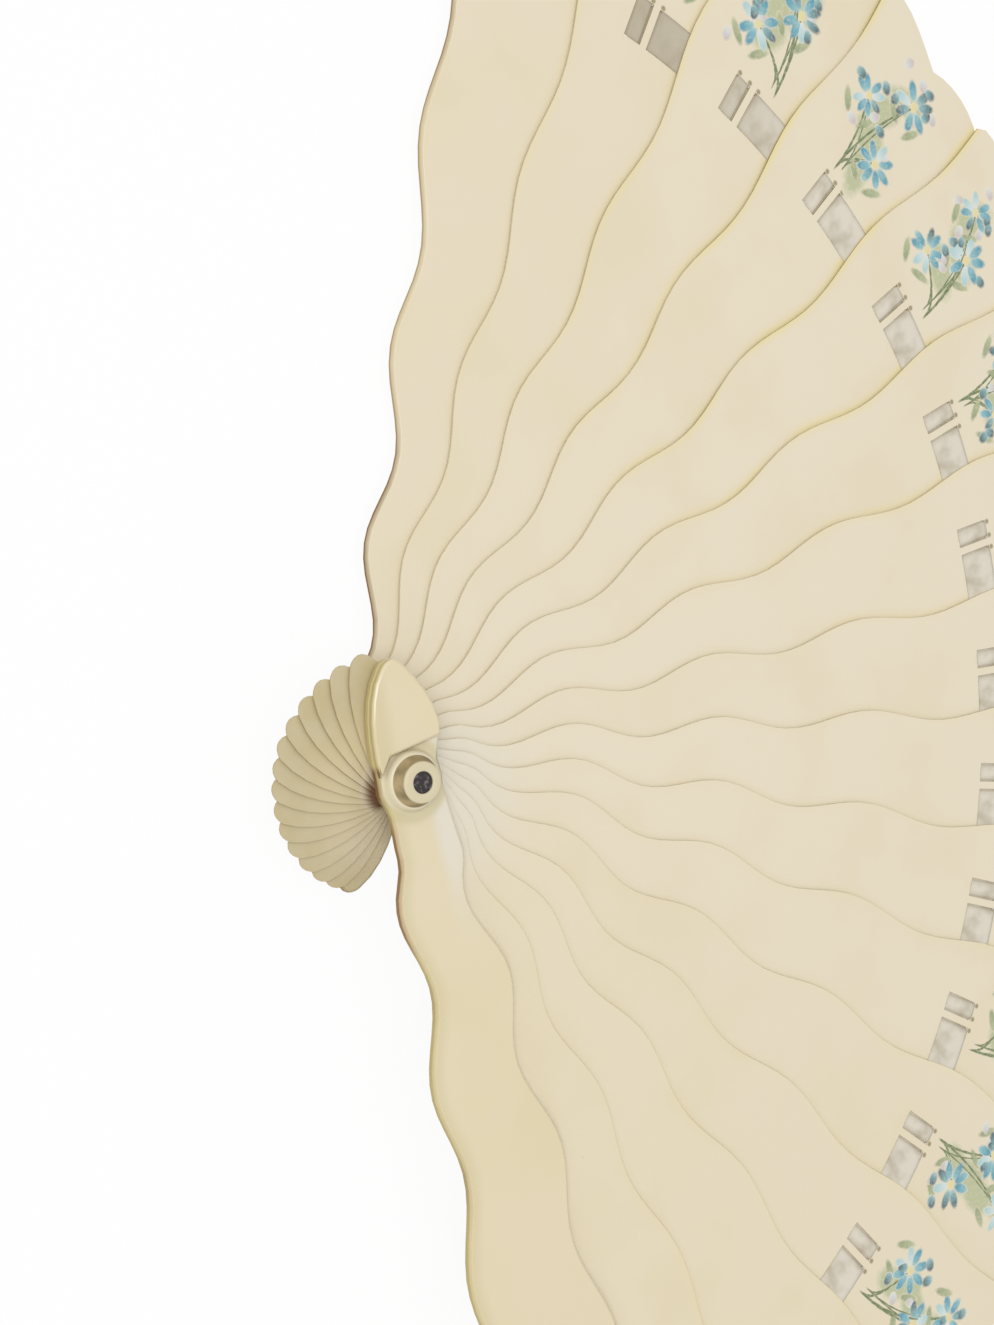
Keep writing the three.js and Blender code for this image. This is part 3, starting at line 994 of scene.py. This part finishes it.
class Spray:
    """The painting on one blade. Its places are in the stick's frame, in millimetres.

    Each dab rises a little higher than the one before it, so that a later one covers it.
    """

    rise = 0.012
    rise_step = 0.0006
    half_turn = 3.1

    # Each flower: its place along the spray and across the blade, and its sway to the side
    flowers = ((6, 2, -4.5), (14.5, 3.5, 4.5), (22.5, 2, -3.5))
    petal_reach = 2.9

    # Length and width of each kind of dab, and the limits of both for the wash
    wash = ((11, 15), (6, 9))
    leaf = (6, 2.1)
    bud = (3.2, 2.4)
    berry = (3.4, 2.6)
    petal = (4.4, 2.2)
    heart = (2.2, 1.9)

    # Widths of the stems, their strokes and how much longer a stroke is than its share of the stem
    stem_width = 0.7
    thin_stem_width = 0.45
    stem_strokes = 7
    stroke_overlap = 1.7

    def __init__(self, scene, stick):
        self.colours = scene.fan_colours
        self.chance = random.Random(scene.fan_stage.seed * 100 + stick.index)
        self.near = scene.fan_sizes.painting_near / MM
        self.lean = 1 if stick.index % 2 else -1
        self.turn = stick.turn() @ Matrix.Scale(MM, 4)
        self.bm = bmesh.new()
        self.tone = self.bm.verts.layers.float_color.new("tone")
        self.rim = self.bm.verts.layers.float.new("rim")
        self.drop = bmesh.new()
        bmesh.ops.create_uvsphere(self.drop, u_segments=12, v_segments=6, radius=1)

    def around(self, place, spread):
        """A random place near this one."""
        return (
            place[0] + self.chance.uniform(-spread, spread),
            place[1] + self.chance.uniform(-spread, spread),
        )

    def any_angle(self):
        """A random angle within half a turn."""
        return self.chance.uniform(0, self.half_turn)

    def paint(self):
        """Wash first, then stems, leaves and buds, then the flowers, with the berries on top."""
        colours = self.colours
        heads = [(self.near + along, across + sway * self.lean) for along, across, sway in self.flowers]
        for step in range(4):
            place = self.around((self.near + 5 + 6 * step, 2), 3)
            size = tuple(self.chance.uniform(*limits) for limits in self.wash)
            self.dab(place, size, self.any_angle(), (colours.wash, colours.wash))
        root = (self.near - 2, 4 * self.lean)
        second_root = (root[0] + 1, root[1] - 1.4 * self.lean)
        for head in heads:
            self.stem(root, head, self.stem_width)
            self.stem(second_root, head, self.thin_stem_width)
            for side in (-1, 1):
                place = (head[0] - 4.8, head[1] + side * 3.2)
                angle = side * self.chance.uniform(0.4, 1.1)
                self.dab(place, self.leaf, angle, (colours.leaf, colours.wash))
        self.scatter(7, heads, 7, self.bud, (colours.lilac, colours.cloud))
        for head in heads:
            self.daisy(head)
        self.scatter(6, heads, 6, self.berry, (colours.slate, colours.pale_blue))
        bmesh.ops.recalc_face_normals(self.bm, faces=self.bm.faces)
        self.drop.free()

    def scatter(self, count, heads, spread, size, tones):
        """Dabs of one kind at random places near the flowers."""
        for _ in range(count):
            place = self.around(self.chance.choice(heads), spread)
            self.dab(place, size, self.any_angle(), tones)

    def daisy(self, middle):
        """Slender petals round a creamy heart, most of them blue and some shaded or lit."""
        colours = self.colours
        petals = self.chance.choice((7, 8))
        size = self.chance.uniform(0.9, 1.15)
        tones = (
            (colours.pale_blue, colours.blue),
            (colours.pale_blue, colours.blue),
            (colours.blue, colours.pale_blue),
            (colours.cloud, colours.pale_blue),
            (colours.pale_blue, colours.slate),
        )
        for petal in range(petals):
            angle = 2 * math.pi * petal / petals + self.chance.uniform(-0.2, 0.2)
            reach = self.petal_reach * size
            place = (middle[0] + reach * math.cos(angle), middle[1] + reach * math.sin(angle))
            self.dab(place, [side * size for side in self.petal], angle, self.chance.choice(tones))
        self.dab(middle, [side * size for side in self.heart], 0, (colours.heart, colours.heart))

    def stem(self, start, end, width):
        """A thin stem of short strokes that bends towards its head."""
        run = Vector(end) - Vector(start)
        size = (run.length / self.stem_strokes * self.stroke_overlap, width)
        for stroke in range(self.stem_strokes):
            share = (stroke + 0.5) / self.stem_strokes
            place = (start[0] + run.x * share, start[1] + run.y * share * share)
            angle = math.atan2(2 * share * run.y, run.x)
            self.dab(place, size, angle, (self.colours.stem, self.colours.leaf))

    def dab(self, place, size, angle, tones):
        """A low drop of paint that runs from the first tone to the second along its length."""
        self.rise += self.rise_step
        spot = Matrix.Translation((*place, 0)) @ Matrix.Rotation(angle, 4, "Z")
        matrix = self.turn @ spot @ Matrix.Diagonal((size[0] / 2, size[1] / 2, self.rise, 1))
        verts = {}
        for vert in self.drop.verts:
            copy = self.bm.verts.new(matrix @ vert.co)
            share = (vert.co.x + 1) / 2
            tone = [first + (second - first) * share for first, second in zip(*tones)]
            copy[self.tone] = (*tone, 1)
            copy[self.rim] = math.hypot(vert.co.x, vert.co.y)
            verts[vert] = copy
        for face in self.drop.faces:
            self.bm.faces.new([verts[vert] for vert in face.verts])


class FAN_OT_stage(bpy.types.Operator):
    """Set up the floor, the studio light and the camera"""

    bl_idname = "fan.stage"
    bl_label = "Stage"

    def execute(self, context):
        stage = context.scene.fan_stage
        bm = bmesh.new()
        bmesh.ops.create_grid(bm, x_segments=1, y_segments=1, size=FLOOR_HALF_SIDE)
        floor = add_piece("floor", bm, backdrop(tuple(context.scene.fan_colours.floor)))
        floor.location.z = CAD_BOX[0].z - FLOOR_DROP * MM
        self.light(context, stage)
        self.camera(context, stage)
        context.scene.view_settings.view_transform = "Standard"
        return {"FINISHED"}

    def light(self, context, stage):
        """One large soft lamp, and a sky that is white to the camera."""
        data = bpy.data.lights.new("lamp", "AREA")
        data.size = stage.lamp_size
        data.energy = stage.lamp_power
        lamp = bpy.data.objects.new("lamp", data)
        lamp.location = stage.lamp_place
        lamp.rotation_euler = Vector(stage.lamp_place).to_track_quat("Z", "Y").to_euler()
        context.scene.collection.objects.link(lamp)
        world = bpy.data.worlds.new("studio")
        world.use_nodes = True
        context.scene.world = world
        tree = world.node_tree
        sky = next(node for node in tree.nodes if node.type == "BACKGROUND")
        sky.inputs["Color"].default_value = (1, 1, 1, 1)
        sky.inputs["Strength"].default_value = stage.sky_strength
        seen = tree.nodes.new("ShaderNodeBackground")
        seen.inputs["Color"].default_value = (1, 1, 1, 1)
        path = tree.nodes.new("ShaderNodeLightPath")
        both = tree.nodes.new("ShaderNodeMixShader")
        output = next(node for node in tree.nodes if node.type == "OUTPUT_WORLD")
        tree.links.new(path.outputs["Is Camera Ray"], both.inputs[0])
        tree.links.new(sky.outputs[0], both.inputs[1])
        tree.links.new(seen.outputs[0], both.inputs[2])
        tree.links.new(both.outputs[0], output.inputs["Surface"])

    def camera(self, context, stage):
        """The camera as it was fitted to the photograph."""
        data = bpy.data.cameras.new("camera")
        data.lens = stage.camera_lens
        data.sensor_width = CAMERA_FRAME_WIDTH
        data.clip_start = CAMERA_NEAR_LIMIT
        camera = bpy.data.objects.new("camera", data)
        camera.location = stage.camera_place
        camera.rotation_euler = Euler(stage.camera_turn)
        context.scene.collection.objects.link(camera)
        context.scene.camera = camera


class FAN_PT_panel(bpy.types.Panel):
    """Sizes, colours and steps of the fan"""

    bl_idname = "FAN_PT_panel"
    bl_label = "Folding hand fan"
    bl_space_type = "VIEW_3D"
    bl_region_type = "UI"
    bl_category = "Fan"

    def draw(self, context):
        for operator in OPERATORS:
            self.layout.operator(operator.bl_idname)
        for group in (context.scene.fan_sizes, context.scene.fan_colours, context.scene.fan_stage):
            box = self.layout.box()
            for name in group.bl_rna.properties.keys():
                if name not in ("rna_type", "name"):
                    box.prop(group, name)


OPERATORS = (FAN_OT_stage, FAN_OT_sticks, FAN_OT_pivot, FAN_OT_ribbon, FAN_OT_painting)
GROUPS = {"fan_sizes": FanSizes, "fan_colours": FanColours, "fan_stage": FanStage}
CLASSES = (*GROUPS.values(), *OPERATORS, FAN_PT_panel)


def register():
    for cls in CLASSES:
        bpy.utils.register_class(cls)
    for name, group in GROUPS.items():
        setattr(bpy.types.Scene, name, PointerProperty(type=group))


def unregister():
    for name in GROUPS:
        delattr(bpy.types.Scene, name)
    for cls in reversed(CLASSES):
        bpy.utils.unregister_class(cls)


def main():
    register()
    bpy.ops.fan.stage()
    bpy.ops.fan.sticks()
    bpy.ops.fan.pivot()
    bpy.ops.fan.ribbon()
    bpy.ops.fan.painting()


if __name__ == "__main__":
    main()
